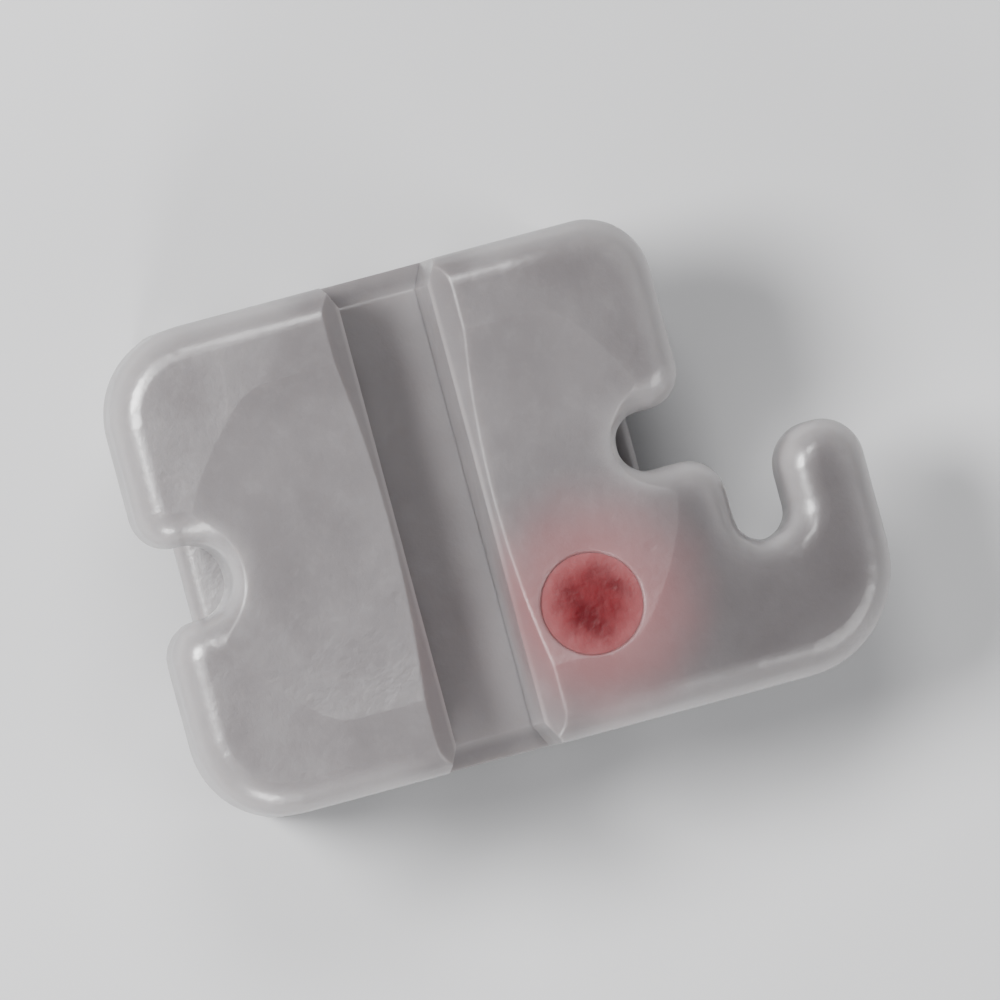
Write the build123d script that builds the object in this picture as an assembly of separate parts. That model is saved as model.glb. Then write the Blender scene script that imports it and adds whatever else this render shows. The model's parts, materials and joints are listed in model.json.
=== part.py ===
"""Ceramic twin orthodontic bracket with an integral hook, for an upper left second premolar.

Frame, in millimetres: the origin is the base point, the middle of the concave bonding surface.
+X is distal, +Y is gingival (the hook side) and +Z is facial, away from the tooth.
The archwire slot and the tie wings stand in a frame of their own, turned about X by the torque.
"""
from build123d import *
import os
from math import asin, degrees, radians, sin, tan

# Archwire slot of the 0.022 by 0.028 inch system
slot_width = 0.559
slot_depth = 0.711
slot_mouth_bevel = 0.05
slot_end_flare = 0.08
slot_end_flare_length = 0.15

# Prescription: base point to slot floor, and the lean of the slot against the base
in_out = 1.0
torque = 7.0

# Neck between the wings and the pad, with the ligature undercut on both sides
neck_half = 0.96
undercut_radius = 0.20

# Tie wings, in the slot frame
body_width = 3.05
occlusal_overhang = 0.84
gingival_overhang = 0.68
occlusal_corner_radius = 0.54
gingival_corner_radius = 0.40
wing_tip_thickness = 0.62
wing_root_drop = 0.10
crown_half = 0.95
crown_fall = 0.11
crown_bend_radius = 2.0
crown_hollow_depth = 0.08
crown_hollow_radius = 7.0

# Notches that part the mesial and distal wings, and how far short of the neck they stop
occlusal_notch_width = 0.46
occlusal_notch_wall = 0.36
gingival_notch_width = 0.36
gingival_notch_wall = 0.19
gingival_notch_place = -0.12

# Hook on the disto-gingival wing, which is a little longer than the mesial one: its throat opens
# towards mesial, and the two places are those of the throat's end and of the bar's tip along X
hook_wing_extra = 0.10
hook_gap = 0.36
hook_bar_width = 0.54
hook_throat_place = 0.645
hook_tip_place = 0.02
hook_thickness = 0.52
hook_dip = 11.0
hook_bend_radius = 0.8
hook_corner_radius = 0.68

# Base pad
pad_ledge = 0.48
pad_corner_radius = 0.23
gingival_rim_cover = 0.12
occlusal_rim_cover = 0.31

# Tooth surface that the base is shaped to
tooth_radius_across = 4.5
tooth_radius_along = 14.0

# Dovetail grooves that run through the base from mesial to distal, and the ribs left outside them
groove_count = 3
rim_rib_width = 0.40
groove_roof_width = 0.48
groove_roof_height = 0.22
groove_flank = 14.0

# Rounding of the moulded ceramic, how much more a notch's lip is rounded than the crown,
# and the share of its half width that a rounded end is given
crown_round = 0.20
body_round = 0.12
foot_chamfer = 0.05
lip_extra = 0.03
full_round_ratio = 0.96

# Colour mark in its dimple on the disto-gingival wing
mark_across = 0.75
mark_along = 0.74
mark_diameter = 0.64
mark_depth = 0.08
mark_draft = 30.0
mark_recess = 0.015

# Stock left past an outline that trims it, and the angle that makes an edge a sharp one
spare = 0.5
sharp_angle = 30.0

crest = in_out + slot_depth
crown = crest + crown_hollow_depth
wing_end = crown - crown_fall
wing_under = wing_end - wing_tip_thickness
neck_top = in_out - wing_root_drop
neck_bottom = neck_top - 2 * undercut_radius
occlusal_reach = neck_half + occlusal_overhang
gingival_reach = neck_half + gingival_overhang
hook_wing_reach = gingival_reach + hook_wing_extra
hook_end = hook_wing_reach + hook_gap + hook_bar_width
pad_half = neck_half + pad_ledge
outer_groove = pad_half - rim_rib_width - groove_roof_width / 2
groove_pitch = 2 * outer_groove / max(groove_count - 1, 1)
half_width = body_width / 2
slot_frame = Plane.XY.rotated((-torque, 0, 0))


def outline(corners):
    """A flat face from (across, up, corner radius) points, with tangent arcs at its corners."""
    points = [Vector(across, up) for across, up, _ in corners]
    arcs = []
    for n, (point, (_, _, radius)) in enumerate(zip(points, corners)):
        back = (points[n - 1] - point).normalized()
        ahead = (points[(n + 1) % len(points)] - point).normalized()
        half_angle = radians(back.get_angle(ahead)) / 2
        reach = radius / tan(half_angle)
        middle = point + (back + ahead).normalized() * (radius / sin(half_angle) - radius)
        arcs.append((point + back * reach, middle, point + ahead * reach, radius))
    edges = []
    for n, (start, middle, end, radius) in enumerate(arcs):
        if radius > 0:
            edges.append(Edge.make_three_point_arc(start, middle, end))
        edges.append(Edge.make_line(end, arcs[(n + 1) % len(arcs)][0]))
    return Face(Wire(edges))


def sharp_edges(solid):
    """The edges where two faces meet at an angle, without the seams inside smooth stretches."""
    sides = {}
    for face in solid.faces():
        for edge in face.edges():
            sides.setdefault(edge, []).append(face)
    return [
        edge
        for edge, faces in sides.items()
        if len(faces) == 2
        and faces[0].normal_at(edge @ 0.5).get_angle(faces[1].normal_at(edge @ 0.5)) > sharp_angle
    ]


def in_slot_frame(along, out, radius=0.0):
    """A corner of the side view given in the slot frame, turned into the base frame."""
    turned = Vector(0, along, out).rotate(Axis.X, -torque)
    return turned.Y, turned.Z, radius


def side_view():
    """The side view of the bracket, left long at both ends for the plan outlines to trim."""
    far_gingival = hook_end + spare
    far_occlusal = -occlusal_reach - spare
    far_pad = pad_half + spare
    occlusal_crown = wing_end - spare * crown_fall / (occlusal_reach - crown_half)
    hook_top = wing_end - (far_gingival - gingival_reach) * tan(radians(hook_dip))
    gingival_rim = groove_roof_height + gingival_rim_cover
    occlusal_rim = groove_roof_height + occlusal_rim_cover
    return outline([
        in_slot_frame(far_gingival, hook_top),
        in_slot_frame(gingival_reach, wing_end, hook_bend_radius),
        in_slot_frame(crown_half, crown, crown_bend_radius),
        in_slot_frame(-crown_half, crown, crown_bend_radius),
        in_slot_frame(far_occlusal, occlusal_crown),
        in_slot_frame(far_occlusal, wing_under),
        in_slot_frame(-occlusal_reach, wing_under),
        in_slot_frame(-neck_half, neck_top, undercut_radius),
        in_slot_frame(-neck_half, neck_bottom, undercut_radius),
        (-pad_half, occlusal_rim, 0.0),
        (-far_pad, occlusal_rim, 0.0),
        (-far_pad, -spare, 0.0),
        (far_pad, -spare, 0.0),
        (far_pad, gingival_rim, 0.0),
        (pad_half, gingival_rim, 0.0),
        in_slot_frame(neck_half, neck_bottom, undercut_radius),
        in_slot_frame(neck_half, neck_top, undercut_radius),
        in_slot_frame(gingival_reach, wing_under, hook_bend_radius),
        in_slot_frame(far_gingival, hook_top - hook_thickness),
    ])


def wing_plan():
    """The outline of the four wings and the hook, seen square to the slot floor."""
    lip = crown_round + lip_extra
    occlusal = occlusal_notch_width / 2
    occlusal_floor = neck_half + occlusal_notch_wall
    occlusal_round = min(occlusal * full_round_ratio, occlusal_reach - occlusal_floor - lip)
    mesial_side = gingival_notch_place - gingival_notch_width / 2
    distal_side = gingival_notch_place + gingival_notch_width / 2
    gingival_floor = neck_half + gingival_notch_wall
    gingival_round = min(gingival_notch_width / 2 * full_round_ratio, gingival_reach - gingival_floor - lip)
    bar_edge = hook_wing_reach + hook_gap
    bar_round = hook_bar_width / 2 * full_round_ratio
    throat_round = hook_gap / 2 * full_round_ratio
    return outline([
        (-half_width, -occlusal_reach, occlusal_corner_radius),
        (-occlusal, -occlusal_reach, lip),
        (-occlusal, -occlusal_floor, occlusal_round),
        (occlusal, -occlusal_floor, occlusal_round),
        (occlusal, -occlusal_reach, lip),
        (half_width, -occlusal_reach, occlusal_corner_radius),
        (half_width, hook_end, hook_corner_radius),
        (hook_tip_place, hook_end, bar_round),
        (hook_tip_place, bar_edge, bar_round),
        (hook_throat_place, bar_edge, throat_round),
        (hook_throat_place, hook_wing_reach, throat_round),
        (distal_side, hook_wing_reach, lip),
        (distal_side, gingival_floor, gingival_round),
        (mesial_side, gingival_floor, gingival_round),
        (mesial_side, gingival_reach, lip),
        (-half_width, gingival_reach, gingival_corner_radius),
    ])


def blank():
    """Wings, neck and pad with sharp edges: the side view trimmed by the two plan outlines."""
    neck_middle = slot_frame.offset((neck_top + neck_bottom) / 2)
    block = extrude(Plane.YZ * side_view(), half_width + spare, both=True)
    wing_zone = extrude(neck_middle * wing_plan(), crown)
    pad_plan = RectangleRounded(body_width, 2 * pad_half, pad_corner_radius)
    pad_column = extrude(Plane.XY.offset(-spare) * pad_plan, spare + crown)
    pad_zone = split(pad_column, bisect_by=neck_middle, keep=Keep.BOTTOM)
    return block & (wing_zone + pad_zone)


def is_crown_face(face):
    """Whether a face belongs to the facial top of the wings or the hook."""
    faces_out = face.normal_at().dot(slot_frame.z_dir) > 0.8
    return faces_out and slot_frame.to_local_coords(face.center()).Z > wing_under


def round_moulded_edges(body):
    """The body with its crown outline and then its other upper edges rounded."""
    crown_rim = [edge for face in body.faces().filter_by(is_crown_face) for edge in face.edges()]
    body = fillet([edge for edge in sharp_edges(body) if edge in crown_rim], crown_round)
    underside = body.bounding_box().min.Z
    return fillet([edge for edge in sharp_edges(body) if (edge @ 0.5).Z > underside + spare / 2], body_round)


def tooth():
    """The tooth surface under the base: curved across from mesial to distal and, less, along."""
    ring = Torus(tooth_radius_along - tooth_radius_across, tooth_radius_across)
    return Pos(0, 0, -tooth_radius_along) * Rot(0, 90, 0) * ring


def dovetail_grooves():
    """Grooves right through the base from mesial to distal, wider at the roof than at the mouth."""
    roof = groove_roof_width / 2
    mouth = roof - (groove_roof_height + spare) * tan(radians(groove_flank))
    section = outline([
        (-mouth, -spare, 0.0),
        (mouth, -spare, 0.0),
        (roof, groove_roof_height, 0.0),
        (-roof, groove_roof_height, 0.0),
    ])
    groove = extrude(Plane.YZ * section, half_width + spare, both=True)
    first = -groove_pitch * (groove_count - 1) / 2
    return [Pos(0, first + n * groove_pitch, 0) * groove for n in range(groove_count)]


def blunt_feet(body):
    """The body with the feet of its ribs blunted, along the grooves and round the rim."""
    feet = [edge for edge in sharp_edges(body) if (edge @ 0.5).Z < groove_roof_height / 2]
    return chamfer(feet, foot_chamfer)


def slot_section(place, grow=0.0):
    """The slot's square section at a distance along X, grown on its walls and its floor."""
    half = slot_width / 2 + grow
    top = crown + spare
    section = outline([
        (-half, in_out - grow, 0.0),
        (half, in_out - grow, 0.0),
        (half, top, 0.0),
        (-half, top, 0.0),
    ])
    return slot_frame * Plane.YZ.offset(place) * section


def archwire_slot():
    """The slot through all four wings, with a bevelled mouth and flared mesial and distal ends."""
    half = slot_width / 2
    bevel_start = crest - slot_mouth_bevel
    bevel_end = crown + spare
    reach = half + bevel_end - bevel_start
    bevel = outline([
        (-half, bevel_start, 0.0),
        (half, bevel_start, 0.0),
        (reach, bevel_end, 0.0),
        (-reach, bevel_end, 0.0),
    ])
    cutter = extrude(slot_section(0), half_width + spare, both=True)
    cutter += extrude(slot_frame * Plane.YZ * bevel, half_width + spare, both=True)
    for side in (-1, 1):
        end = slot_section(side * half_width, slot_end_flare)
        throat = slot_section(side * (half_width - slot_end_flare_length))
        cutter += loft([end, throat])
    return cutter


def crown_hollow():
    """The shallow hollow across the crown, which brings the slot to its depth in the middle."""
    roller = Cylinder(crown_hollow_radius, 2 * (hook_end + spare), rotation=(90, 0, 0))
    return slot_frame * Pos(0, 0, crest + crown_hollow_radius) * roller


def mark_axis():
    """The middle of the colour mark on the crown's hollow, looking square out of it."""
    lean = degrees(asin(mark_across / crown_hollow_radius))
    rise = crown_hollow_radius * (1 - (1 - (mark_across / crown_hollow_radius) ** 2) ** 0.5)
    return slot_frame * Pos(mark_across, mark_along, crest + rise) * Rot(0, -lean, 0)


def mark_well(recess=0.0):
    """The drafted well of the colour mark: open over the crown, or filled up to a recess below it."""
    rim = mark_diameter / 2
    floor = rim - mark_depth * tan(radians(mark_draft))
    top = -recess if recess else mark_depth
    profile = outline([
        (0, -mark_depth, 0.0),
        (floor, -mark_depth, 0.0),
        (rim + top * tan(radians(mark_draft)), top, 0.0),
        (0, top, 0.0),
    ])
    return mark_axis() * revolve(Plane.XZ * profile, Axis.Z)


def bracket_body():
    """The one sintered piece: base pad, neck, four tie wings, slot and hook."""
    body = round_moulded_edges(blank()) - tooth()
    for groove in dovetail_grooves():
        body -= groove
    body = blunt_feet(body)
    return body - crown_hollow() - archwire_slot() - mark_well()


def id_mark():
    """The dried dye that fills the well to just under its rim."""
    return mark_well(mark_recess)


def main():
    os.makedirs("parts", exist_ok=True)
    export_step(bracket_body().solid(), "parts/bracket_body.step")
    export_step(id_mark().solid(), "parts/id_mark.step")


if __name__ == "__main__":
    main()
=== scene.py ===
"""Ceramic orthodontic bracket with a hook and a red colour mark, seen from straight above.

Blender's units are metres; sizes here are millimetres times MM. The frame is the CAD model's: the origin
is the base point, +X is distal, +Y is gingival (the hook side) and +Z is facial, away from the tooth.
"""
import json
import math

import bpy
import numpy as np
from mathutils import Matrix, Vector


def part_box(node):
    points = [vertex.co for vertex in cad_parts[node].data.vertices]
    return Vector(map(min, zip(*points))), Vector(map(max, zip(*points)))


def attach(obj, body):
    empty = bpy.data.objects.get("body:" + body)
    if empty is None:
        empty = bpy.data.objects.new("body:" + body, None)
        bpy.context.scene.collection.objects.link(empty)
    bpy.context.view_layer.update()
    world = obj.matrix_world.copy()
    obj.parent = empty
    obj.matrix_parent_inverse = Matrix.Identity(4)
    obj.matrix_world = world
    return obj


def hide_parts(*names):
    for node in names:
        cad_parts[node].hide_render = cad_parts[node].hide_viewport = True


MM = 0.001
DISTAL = Vector((1, 0, 0))
UP = Vector((0, 0, 1))

# Camera, straight above and turned about its view so that distal points down and a little left
VIEW_TURN = math.radians(15.0)
FRAME_WIDTH = 6.1 * MM
VIEW_DISTANCE = 160 * MM
SENSOR = 36.0
NEAREST_SEEN = 1 * MM
FURTHEST_SEEN = 2000 * MM
CONTRAST = "AgX - Medium High Contrast"

# Soft lights: name, azimuth and elevation in degrees, distance and width in millimetres, watts
LIGHTS = [
    ("key", 244, 57, 32, 13, 0.0096),
    ("fill", 60, 30, 34, 18, 0.0030),
    ("rim", 330, 26, 34, 12, 0.0042),
    ("top", 170, 62, 38, 14, 0.0040),
]
SKY = (0.84, 0.86, 0.90, 1)
SKY_STRENGTH = 0.17

# Floor of matt paper, and the soft patches in its tone
FLOOR_HALF = 400 * MM
FLOOR_LIGHT = (0.70, 0.70, 0.705, 1)
FLOOR_DARK = (0.679, 0.679, 0.684, 1)
FLOOR_PATCH = 1.2 * MM
FLOOR_ROUGHNESS = 0.8

# The tooth surface that the base is shaped to, and half the archwire slot's width
TOOTH_RADIUS_ACROSS = 4.5 * MM
TOOTH_RADIUS_ALONG = 14.0 * MM
SLOT_HALF = 0.28 * MM

# Noise, unless a place asks for other: layers of ever finer detail, and how strong the finer ones are
DETAIL = 3.0
GRAININESS = 0.5

# Colours are linear red, green, blue and alpha. A span is two values between which a share grows smoothly.
# Ceramic, milky and a little pink, with lighter flecks
MILK_DARK = (0.228, 0.211, 0.215, 1)
MILK_LIGHT = (0.268, 0.251, 0.255, 1)
CLOUD = 0.9 * MM
CLOUD_SPAN = (0.30, 0.70)
FLECK_COLOUR = (0.345, 0.327, 0.331, 1)
FLECK = 0.12 * MM
FLECK_GRAININESS = 0.65
FLECK_SPAN = (0.45, 0.75)
FLECK_SHARES = (0.0, 0.2)

# Painted shade on the hook and its arm, which are thinner: distances to gingival, and to distal
HOOK_SHADE_COLOUR = (0.155, 0.142, 0.145, 1)
HOOK_SHADE_SPAN = (0.95 * MM, 1.55 * MM)
HOOK_SHADE_SHARES = (0.0, 0.75)
HOOK_SHADE_SIDE_SPAN = (-0.10 * MM, 0.45 * MM)

# Painted light at the rims: lighter where an edge is near, less so on upright faces and beside the slot
RIM_HIGHLIGHT_COLOUR = (0.50, 0.484, 0.488, 1)
RIM_HIGHLIGHT_REACH = 0.30 * MM
RIM_HIGHLIGHT_SPAN = (0.995, 0.70)
UPRIGHT_HIGHLIGHT_SPAN = (0.55, 0.10)
UPRIGHT_HIGHLIGHT_SHARES = (0.75, 0.35)
SLOT_RIM_HIGHLIGHT_SPAN = (0.40 * MM, 0.75 * MM)
SLOT_RIM_HIGHLIGHT_SHARES = (0.25, 1.0)

# Painted light inside the archwire slot, lifting the shade of its recess: margins beyond its walls and
# below its floor
SLOT_LIGHT_COLOUR = (0.375, 0.353, 0.358, 1)
SLOT_LIGHT_SHARE = 0.85
SLOT_WALL_SPAN = (SLOT_HALF + 0.03 * MM, SLOT_HALF + 0.01 * MM)
SLOT_FLOOR_MARGIN = 0.04 * MM

# Dye that has bled into the ceramic: distances from the middle of the mark
STAIN_COLOUR = (0.345, 0.165, 0.170, 1)
STAIN_SPAN = (0.33 * MM, 0.92 * MM)
STAIN_SHARES = (0.85, 0.0)
STAIN_WOBBLE = 0.22 * MM
STAIN_WOBBLE_DEPTH = 0.10 * MM

# Gloss and relief of the ceramic: blot sizes, depths, and the height over the tooth that is blasted
BLASTED_SPAN = (0.10 * MM, 0.30 * MM)
BLASTED_SHARES = (1.0, 0.0)
BLASTED_ROUGHER = 0.25
SATIN = 0.35 * MM
SATIN_SPAN = (0.3, 0.7)
SATIN_ROUGHNESS = (0.285, 0.41)
EASED_EDGE = 0.025 * MM
EDGE_SAMPLES = 4
GRAIN = 0.045 * MM
GRAIN_GRAININESS = 0.6
GRAIN_DEPTH = 0.0018 * MM
SWELL = 0.30 * MM
SWELL_DETAIL = 2.0
SWELL_DEPTH = 0.0065 * MM
PITS_APART = 0.21 * MM
PIT_SPAN = (0.06, 0.20)
PIT_DEPTH = 0.0008 * MM
CRYSTAL = 0.06 * MM
CRYSTAL_GRAININESS = 0.7
CRYSTAL_DEPTH = 0.03 * MM

# Light inside the ceramic, and the thin gloss on it
ALUMINA_IOR = 1.76
CERAMIC_SCATTER = 0.9
CERAMIC_SCATTER_COLOUR = (1.0, 0.9, 0.82)
CERAMIC_SCATTER_DEPTH = 0.22 * MM
COAT = 0.4
COAT_ROUGHNESS = 0.14

# Dye, dark red in blots, thinner and pinker at its edge
DYE_DARK = (0.135, 0.009, 0.013, 1)
DYE_LIGHT = (0.190, 0.017, 0.021, 1)
DYE_BLOT = 0.20 * MM
DYE_BLOT_SPAN = (0.35, 0.65)
DYE_BLOT_DEPTH = 0.008 * MM
DYE_THIN_COLOUR = (0.33, 0.110, 0.115, 1)
DYE_THIN_SPAN = (0.15 * MM, 0.39 * MM)
DYE_WOBBLE = 0.10 * MM
DYE_WOBBLE_DEPTH = 0.08 * MM
DYE_GLOSS_SPAN = (0.3, 0.7)
DYE_ROUGHNESS = (0.32, 0.5)
DYE_GRAIN = 0.045 * MM
DYE_GRAIN_DEPTH = 0.0025 * MM
DYE_SCATTER = 0.3
DYE_SCATTER_COLOUR = (1.0, 0.3, 0.3)
DYE_SCATTER_DEPTH = 0.10 * MM

# Finer meshes, in millimetres. Places that agree to within WELD are one, and no length counts as less than
# TINY. The two sides of an edge form a crease where their normals differ by more than CREASE_SINE, and a
# corner's normal is wrong where it differs from its triangle's by more than WRONG_NORMAL_COSINE says. An
# edge that would bow by more than MOST_BOW of its length stays straight.
WELD = 1e-5
TINY = 1e-9
CREASE_SINE = 0.17
WRONG_NORMAL_COSINE = 0.82
MOST_BOW = 0.065

# How far the middle of a smooth curve bows: an eighth of how much the ways out of its two ends differ
BOW_SHARE = 1 / 8

# A triangle's four parts, by its corners 0 to 2 and the middles 3 to 5 of the edges that follow them
QUARTERS = [(0, 3, 5), (1, 4, 3), (2, 5, 4), (3, 4, 5)]

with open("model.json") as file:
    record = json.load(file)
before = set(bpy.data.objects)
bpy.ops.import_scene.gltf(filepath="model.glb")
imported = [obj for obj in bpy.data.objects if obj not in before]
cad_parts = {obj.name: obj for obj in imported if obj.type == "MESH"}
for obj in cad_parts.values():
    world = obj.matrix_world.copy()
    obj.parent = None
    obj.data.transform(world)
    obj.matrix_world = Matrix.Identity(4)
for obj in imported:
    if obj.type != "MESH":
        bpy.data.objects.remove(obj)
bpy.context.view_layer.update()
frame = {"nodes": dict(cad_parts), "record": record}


def middle_of(box):
    return (box[0] + box[1]) / 2


# The way that the wings face, the way to gingival along them, the slot's floor and the mark, from the frame
SLOT_MOUNT = next(mount for mount in frame["record"]["mounts"] if mount["name"] == "slot_floor")
FACIAL = Vector(SLOT_MOUNT["axis"])
GINGIVAL = FACIAL.cross(DISTAL)
SLOT_FLOOR = FACIAL.dot(Vector(SLOT_MOUNT["pos_m"]))
MARK_PLACE = middle_of(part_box("id_mark"))


class Tree:
    """A new material's node tree, with short calls for the nodes that the materials share."""

    def __init__(self, name):
        self.material = bpy.data.materials.new(name)
        self.material.use_nodes = True
        self.nodes = self.material.node_tree.nodes
        self.links = self.material.node_tree.links
        self.nodes.clear()
        self.shader = self.add("ShaderNodeBsdfPrincipled")
        out = self.add("ShaderNodeOutputMaterial")
        self.links.new(self.shader.outputs["BSDF"], out.inputs["Surface"])
        self.place = self.add("ShaderNodeTexCoord").outputs["Object"]

    def add(self, kind, **values):
        node = self.nodes.new(kind)
        for key, value in values.items():
            setattr(node, key, value)
        return node

    def feed(self, socket, value):
        if isinstance(value, bpy.types.NodeSocket):
            self.links.new(value, socket)
        else:
            socket.default_value = value

    def set(self, **inputs):
        """Constants of the shader itself, with underscores for the spaces in their names."""
        for name, value in inputs.items():
            self.shader.inputs[name.replace("_", " ")].default_value = value

    def maths(self, operation, *values):
        node = self.add("ShaderNodeMath", operation=operation)
        for socket, value in zip(node.inputs, values):
            self.feed(socket, value)
        return node.outputs[0]

    def plus(self, first, second):
        return self.maths("ADD", first, second)

    def times(self, first, second):
        return self.maths("MULTIPLY", first, second)

    def noise(self, size, detail=DETAIL, graininess=GRAININESS):
        """Noise whose blots are about this size in metres, from 0 to 1."""
        node = self.add("ShaderNodeTexNoise")
        self.feed(node.inputs["Vector"], self.place)
        node.inputs["Scale"].default_value = 1 / size
        node.inputs["Detail"].default_value = detail
        node.inputs["Roughness"].default_value = graininess
        return node.outputs["Fac"]

    def cells(self, size):
        """Distance to the nearest of scattered points this far apart, in shares of that."""
        node = self.add("ShaderNodeTexVoronoi")
        self.feed(node.inputs["Vector"], self.place)
        node.inputs["Scale"].default_value = 1 / size
        return node.outputs["Distance"]

    def ramp(self, value, span, shares=(0.0, 1.0)):
        """A smooth step over a span of a value, from the first share to the second."""
        node = self.add("ShaderNodeMapRange", interpolation_type="SMOOTHSTEP")
        names = ("Value", "From Min", "From Max", "To Min", "To Max")
        for name, given in zip(names, (value, *span, *shares)):
            self.feed(node.inputs[name], given)
        return node.outputs["Result"]

    def mix(self, share, first, second):
        node = self.add("ShaderNodeMix", data_type="RGBA")
        self.feed(node.inputs["Factor"], share)
        self.feed(node.inputs["A"], first)
        self.feed(node.inputs["B"], second)
        return node.outputs["Result"]

    def bump(self, height, depth, over=None):
        """Fine relief: a height from 0 to 1, as deep as this in metres, over other relief."""
        node = self.add("ShaderNodeBump")
        node.inputs["Strength"].default_value = 1.0
        node.inputs["Distance"].default_value = depth
        self.feed(node.inputs["Height"], height)
        if over:
            self.feed(node.inputs["Normal"], over)
        return node.outputs["Normal"]

    def eased_edges(self, radius):
        """Shading as if every sharp edge were rounded to this radius."""
        node = self.add("ShaderNodeBevel", samples=EDGE_SAMPLES)
        node.inputs["Radius"].default_value = radius
        return node.outputs["Normal"]

    def dot(self, vector, direction):
        """How far a vector reaches this way; for a normal, 1 where it points this way."""
        node = self.add("ShaderNodeVectorMath", operation="DOT_PRODUCT")
        self.feed(node.inputs[0], vector)
        node.inputs[1].default_value = direction
        return node.outputs["Value"]

    def distance_from(self, point):
        node = self.add("ShaderNodeVectorMath", operation="DISTANCE")
        self.feed(node.inputs[0], self.place)
        node.inputs[1].default_value = point
        return node.outputs["Value"]

    def from_slot_middle(self):
        """Distance to gingival or occlusal from the middle plane of the archwire slot."""
        return self.maths("ABSOLUTE", self.dot(self.place, GINGIVAL))

    def in_slot(self):
        """1 inside the archwire slot and 0 elsewhere."""
        between = self.ramp(self.from_slot_middle(), SLOT_WALL_SPAN)
        above = self.ramp(self.dot(self.place, FACIAL), (SLOT_FLOOR - SLOT_FLOOR_MARGIN, SLOT_FLOOR))
        return self.times(between, above)

    def height_over_tooth(self):
        """Height above the tooth surface that the base is shaped to."""
        node = self.add("ShaderNodeSeparateXYZ")
        self.feed(node.inputs[0], self.place)
        x, y, z = node.outputs
        across = self.times(self.times(x, x), 1 / (2 * TOOTH_RADIUS_ACROSS))
        along = self.times(self.times(y, y), 1 / (2 * TOOTH_RADIUS_ALONG))
        return self.plus(z, self.plus(across, along))


def ceramic_colour(tree):
    """Milky, with painted shade in the hook, painted light at its rims and in the slot, stained round the
    mark.
    """
    cloud = tree.ramp(tree.noise(CLOUD), CLOUD_SPAN)
    fleck = tree.ramp(tree.noise(FLECK, graininess=FLECK_GRAININESS), FLECK_SPAN, FLECK_SHARES)
    milk = tree.mix(cloud, MILK_DARK, MILK_LIGHT)
    milk = tree.mix(fleck, milk, FLECK_COLOUR)

    # Painted shade: the hook and its arm are darkened towards gingival
    hook = tree.ramp(tree.dot(tree.place, GINGIVAL), HOOK_SHADE_SPAN, HOOK_SHADE_SHARES)
    hook_shade_side = tree.ramp(tree.dot(tree.place, DISTAL), HOOK_SHADE_SIDE_SPAN)
    milk = tree.mix(tree.times(hook, hook_shade_side), milk, HOOK_SHADE_COLOUR)

    # Painted light: the rims are lightened where an edge is near
    facing = tree.dot(tree.eased_edges(RIM_HIGHLIGHT_REACH), FACIAL)
    near_edge_light = tree.ramp(facing, RIM_HIGHLIGHT_SPAN)
    upright = tree.ramp(facing, UPRIGHT_HIGHLIGHT_SPAN, UPRIGHT_HIGHLIGHT_SHARES)
    off_slot_light = tree.ramp(tree.from_slot_middle(), SLOT_RIM_HIGHLIGHT_SPAN, SLOT_RIM_HIGHLIGHT_SHARES)
    rim = tree.times(tree.times(near_edge_light, upright), off_slot_light)
    milk = tree.mix(rim, milk, RIM_HIGHLIGHT_COLOUR)

    # Painted light: the slot's recess is lightened
    milk = tree.mix(tree.times(tree.in_slot(), SLOT_LIGHT_SHARE), milk, SLOT_LIGHT_COLOUR)

    wobble = tree.times(tree.noise(STAIN_WOBBLE), STAIN_WOBBLE_DEPTH)
    reach = tree.plus(tree.distance_from(MARK_PLACE), wobble)
    return tree.mix(tree.ramp(reach, STAIN_SPAN, STAIN_SHARES), milk, STAIN_COLOUR)


def ceramic_material():
    """Polycrystalline alumina: milky, satin, finely grained, blasted rough under the base."""
    tree = Tree("ceramic")
    inputs = tree.shader.inputs
    tree.feed(inputs["Base Color"], ceramic_colour(tree))

    blasted = tree.ramp(tree.height_over_tooth(), BLASTED_SPAN, BLASTED_SHARES)
    satin = tree.ramp(tree.noise(SATIN), SATIN_SPAN, SATIN_ROUGHNESS)
    tree.feed(inputs["Roughness"], tree.plus(satin, tree.times(blasted, BLASTED_ROUGHER)))

    grain = tree.noise(GRAIN, graininess=GRAIN_GRAININESS)
    relief = tree.bump(grain, GRAIN_DEPTH, tree.eased_edges(EASED_EDGE))
    relief = tree.bump(tree.noise(SWELL, SWELL_DETAIL), SWELL_DEPTH, relief)
    relief = tree.bump(tree.ramp(tree.cells(PITS_APART), PIT_SPAN), PIT_DEPTH, relief)
    crystals = tree.times(tree.noise(CRYSTAL, graininess=CRYSTAL_GRAININESS), blasted)
    tree.feed(inputs["Normal"], tree.bump(crystals, CRYSTAL_DEPTH, relief))

    tree.set(IOR=ALUMINA_IOR, Coat_Weight=COAT, Coat_Roughness=COAT_ROUGHNESS)
    tree.set(Subsurface_Weight=CERAMIC_SCATTER, Subsurface_Radius=CERAMIC_SCATTER_COLOUR)
    tree.set(Subsurface_Scale=CERAMIC_SCATTER_DEPTH)
    return tree.material


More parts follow.
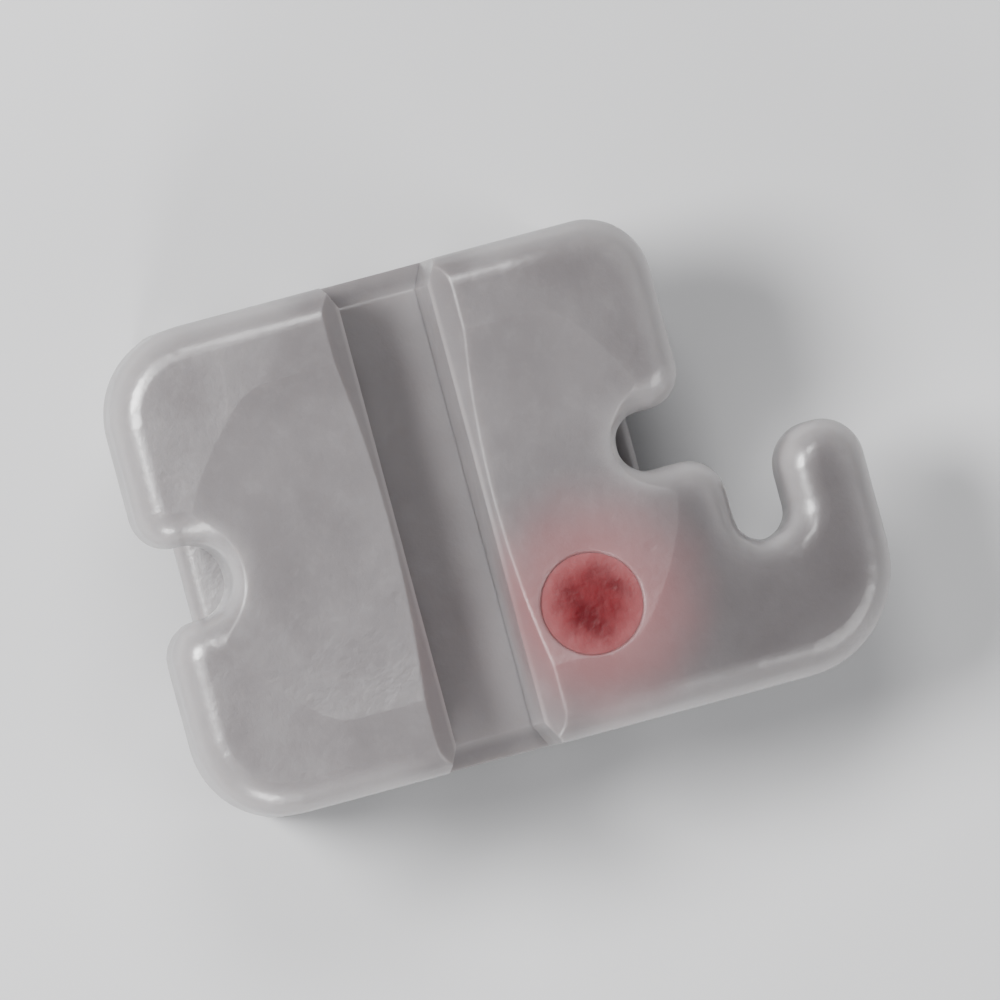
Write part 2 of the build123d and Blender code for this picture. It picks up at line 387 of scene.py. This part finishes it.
def dye_material():
    """Dried red dye: uneven in tone, a little glossy, thinner and lighter at its edge."""
    tree = Tree("dye")
    inputs = tree.shader.inputs
    blot = tree.noise(DYE_BLOT)
    red = tree.mix(tree.ramp(blot, DYE_BLOT_SPAN), DYE_DARK, DYE_LIGHT)
    wobble = tree.times(tree.noise(DYE_WOBBLE), DYE_WOBBLE_DEPTH)
    reach = tree.plus(tree.distance_from(MARK_PLACE), wobble)
    tree.feed(inputs["Base Color"], tree.mix(tree.ramp(reach, DYE_THIN_SPAN), red, DYE_THIN_COLOUR))
    tree.feed(inputs["Roughness"], tree.ramp(blot, DYE_GLOSS_SPAN, DYE_ROUGHNESS))
    grain = tree.bump(tree.noise(DYE_GRAIN), DYE_GRAIN_DEPTH)
    tree.feed(inputs["Normal"], tree.bump(blot, DYE_BLOT_DEPTH, grain))
    tree.set(Subsurface_Weight=DYE_SCATTER, Subsurface_Radius=DYE_SCATTER_COLOUR)
    tree.set(Subsurface_Scale=DYE_SCATTER_DEPTH)
    return tree.material


def floor_material():
    """Matt pale paper."""
    tree = Tree("paper")
    patches = tree.noise(FLOOR_PATCH)
    tree.feed(tree.shader.inputs["Base Color"], tree.mix(patches, FLOOR_DARK, FLOOR_LIGHT))
    tree.set(Roughness=FLOOR_ROUGHNESS)
    return tree.material


def length_of(vectors):
    return np.linalg.norm(vectors, axis=-1, keepdims=True)


def unit(vectors):
    return vectors / np.maximum(length_of(vectors), TINY)


def along_each(vectors, directions):
    """How far each vector reaches along its own direction."""
    return (vectors * directions).sum(-1, keepdims=True)


def triangles_of(mesh):
    """A CAD mesh as welded places in millimetres, triangles of them, and a normal for each corner."""
    mesh.calc_loop_triangles()
    places = np.empty((len(mesh.vertices), 3))
    normals = np.empty((len(mesh.loops), 3))
    corners = np.empty((len(mesh.loop_triangles), 3), dtype=np.int32)
    loops = np.empty_like(corners)
    mesh.vertices.foreach_get("co", places.ravel())
    mesh.corner_normals.foreach_get("vector", normals.ravel())
    mesh.loop_triangles.foreach_get("vertices", corners.ravel())
    mesh.loop_triangles.foreach_get("loops", loops.ravel())

    places /= MM
    rounded = np.round(places / WELD)
    _, first, weld = np.unique(rounded, axis=0, return_index=True, return_inverse=True)
    places = places[first]
    corners = weld.ravel()[corners]
    normals = normals[loops]

    a, b, c = (places[corners[:, corner]] for corner in range(3))
    flat = unit(np.cross(b - a, c - a))[:, None, :]
    wrong = along_each(normals, flat) < WRONG_NORMAL_COSINE
    return places, corners, np.where(wrong, flat, normals)


def way_out(chord, normal_one, normal_two):
    """How a curve leaves one end of its chord: on the sides' tangent plane, or along their crease."""
    cross = np.cross(normal_one, normal_two)
    crease = unit(cross)
    normal = unit(normal_one + normal_two)
    on_crease = along_each(chord, crease) * crease
    on_plane = chord - along_each(chord, normal) * normal
    return np.where(length_of(cross) > CREASE_SINE, on_crease, on_plane)


def bowed_middles(places, corners, normals):
    """The middle of each edge on the curve that it stands for, and the numbers of each triangle's three."""
    start = corners.ravel()
    end = np.roll(corners, -1, axis=1).ravel()
    at_start = normals.reshape(-1, 3)
    at_end = np.roll(normals, -1, axis=1).reshape(-1, 3)
    forward = (start < end)[:, None]
    at_low = np.where(forward, at_start, at_end)
    at_high = np.where(forward, at_end, at_start)

    # Each edge has two sides, one in each of the two triangles that share it
    ends = np.sort(np.stack([start, end], axis=1), axis=1)
    edges, edge_of_side, count = np.unique(ends, axis=0, return_inverse=True, return_counts=True)
    edge_of_side = edge_of_side.ravel()
    sides = np.argsort(edge_of_side, kind="stable")
    last = np.cumsum(count) - 1
    one = sides[last - count + 1]
    two = sides[last]

    low = places[edges[:, 0]]
    high = places[edges[:, 1]]
    chord = high - low
    ways = way_out(chord, at_low[one], at_low[two]) - way_out(chord, at_high[one], at_high[two])
    bow = ways * BOW_SHARE
    bow = np.where(length_of(bow) > MOST_BOW * length_of(chord), 0, bow)
    return (low + high) / 2 + bow, edge_of_side.reshape(-1, 3)


def finer(node, name, material):
    """A piece that stands for a CAD node: the same shape, with its facets quartered and bowed out."""
    places, corners, normals = triangles_of(node.data)
    middles, middles_of = bowed_middles(places, corners, normals)
    normals_of_middles = unit(normals + np.roll(normals, -1, axis=1))
    six_points = np.hstack([corners, middles_of + len(places)])
    six_normals = np.hstack([normals, normals_of_middles])

    mesh = bpy.data.meshes.new(name)
    faces = six_points[:, QUARTERS].reshape(-1, 3)
    mesh.from_pydata((np.concatenate([places, middles]) * MM).tolist(), [], faces.tolist())
    mesh.shade_smooth()
    mesh.normals_split_custom_set(six_normals[:, QUARTERS].reshape(-1, 3).tolist())
    mesh.materials.append(material)
    piece = bpy.data.objects.new(name, mesh)
    bpy.context.scene.collection.objects.link(piece)
    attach(piece, "root")
    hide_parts(node.name)


def floor(height):
    """The pale floor that the bracket's base corners stand on."""
    corners = [(-FLOOR_HALF, -FLOOR_HALF, 0), (FLOOR_HALF, -FLOOR_HALF, 0)]
    corners += [(FLOOR_HALF, FLOOR_HALF, 0), (-FLOOR_HALF, FLOOR_HALF, 0)]
    mesh = bpy.data.meshes.new("floor")
    mesh.from_pydata(corners, [], [(0, 1, 2, 3)])
    mesh.materials.append(floor_material())
    plane = bpy.data.objects.new("floor", mesh)
    plane.location = UP * height
    bpy.context.scene.collection.objects.link(plane)


def lights(middle):
    """Soft round lights about the bracket."""
    for name, azimuth, elevation, distance, width, watts in LIGHTS:
        data = bpy.data.lights.new(name, "AREA")
        data.shape = "DISK"
        data.size = width * MM
        data.energy = watts
        lamp = bpy.data.objects.new(name, data)
        round_about = math.radians(azimuth)
        raised = math.radians(elevation)
        level = Vector((math.cos(round_about), math.sin(round_about), 0))
        towards = level * math.cos(raised) + UP * math.sin(raised)
        lamp.location = middle + towards * distance * MM
        lamp.rotation_euler = towards.to_track_quat("Z", "Y").to_euler()
        bpy.context.scene.collection.objects.link(lamp)


def sky():
    """A dim even sky."""
    world = bpy.data.worlds.new("sky")
    world.use_nodes = True
    background = world.node_tree.nodes["Background"]
    background.inputs["Color"].default_value = SKY
    background.inputs["Strength"].default_value = SKY_STRENGTH
    bpy.context.scene.world = world


def camera(middle):
    """A long lens straight above the bracket, turned about its view as in the photograph."""
    right = Vector((math.sin(VIEW_TURN), math.cos(VIEW_TURN), 0))
    facing = Matrix((right, UP.cross(right), UP)).transposed()
    data = bpy.data.cameras.new("camera")
    data.sensor_width = SENSOR
    data.lens = SENSOR * VIEW_DISTANCE / FRAME_WIDTH
    data.clip_start = NEAREST_SEEN
    data.clip_end = FURTHEST_SEEN
    lens = bpy.data.objects.new("camera", data)
    lens.matrix_world = Matrix.Translation(middle + UP * VIEW_DISTANCE) @ facing.to_4x4()
    bpy.context.scene.collection.objects.link(lens)
    bpy.context.scene.camera = lens


finer(frame["nodes"]["bracket_body"], "ceramic_body", ceramic_material())
finer(frame["nodes"]["id_mark"], "dye_mark", dye_material())
body_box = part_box("bracket_body")
floor(body_box[0].z)
lights(middle_of(body_box))
sky()
camera(middle_of(body_box))
bpy.context.scene.view_settings.look = CONTRAST
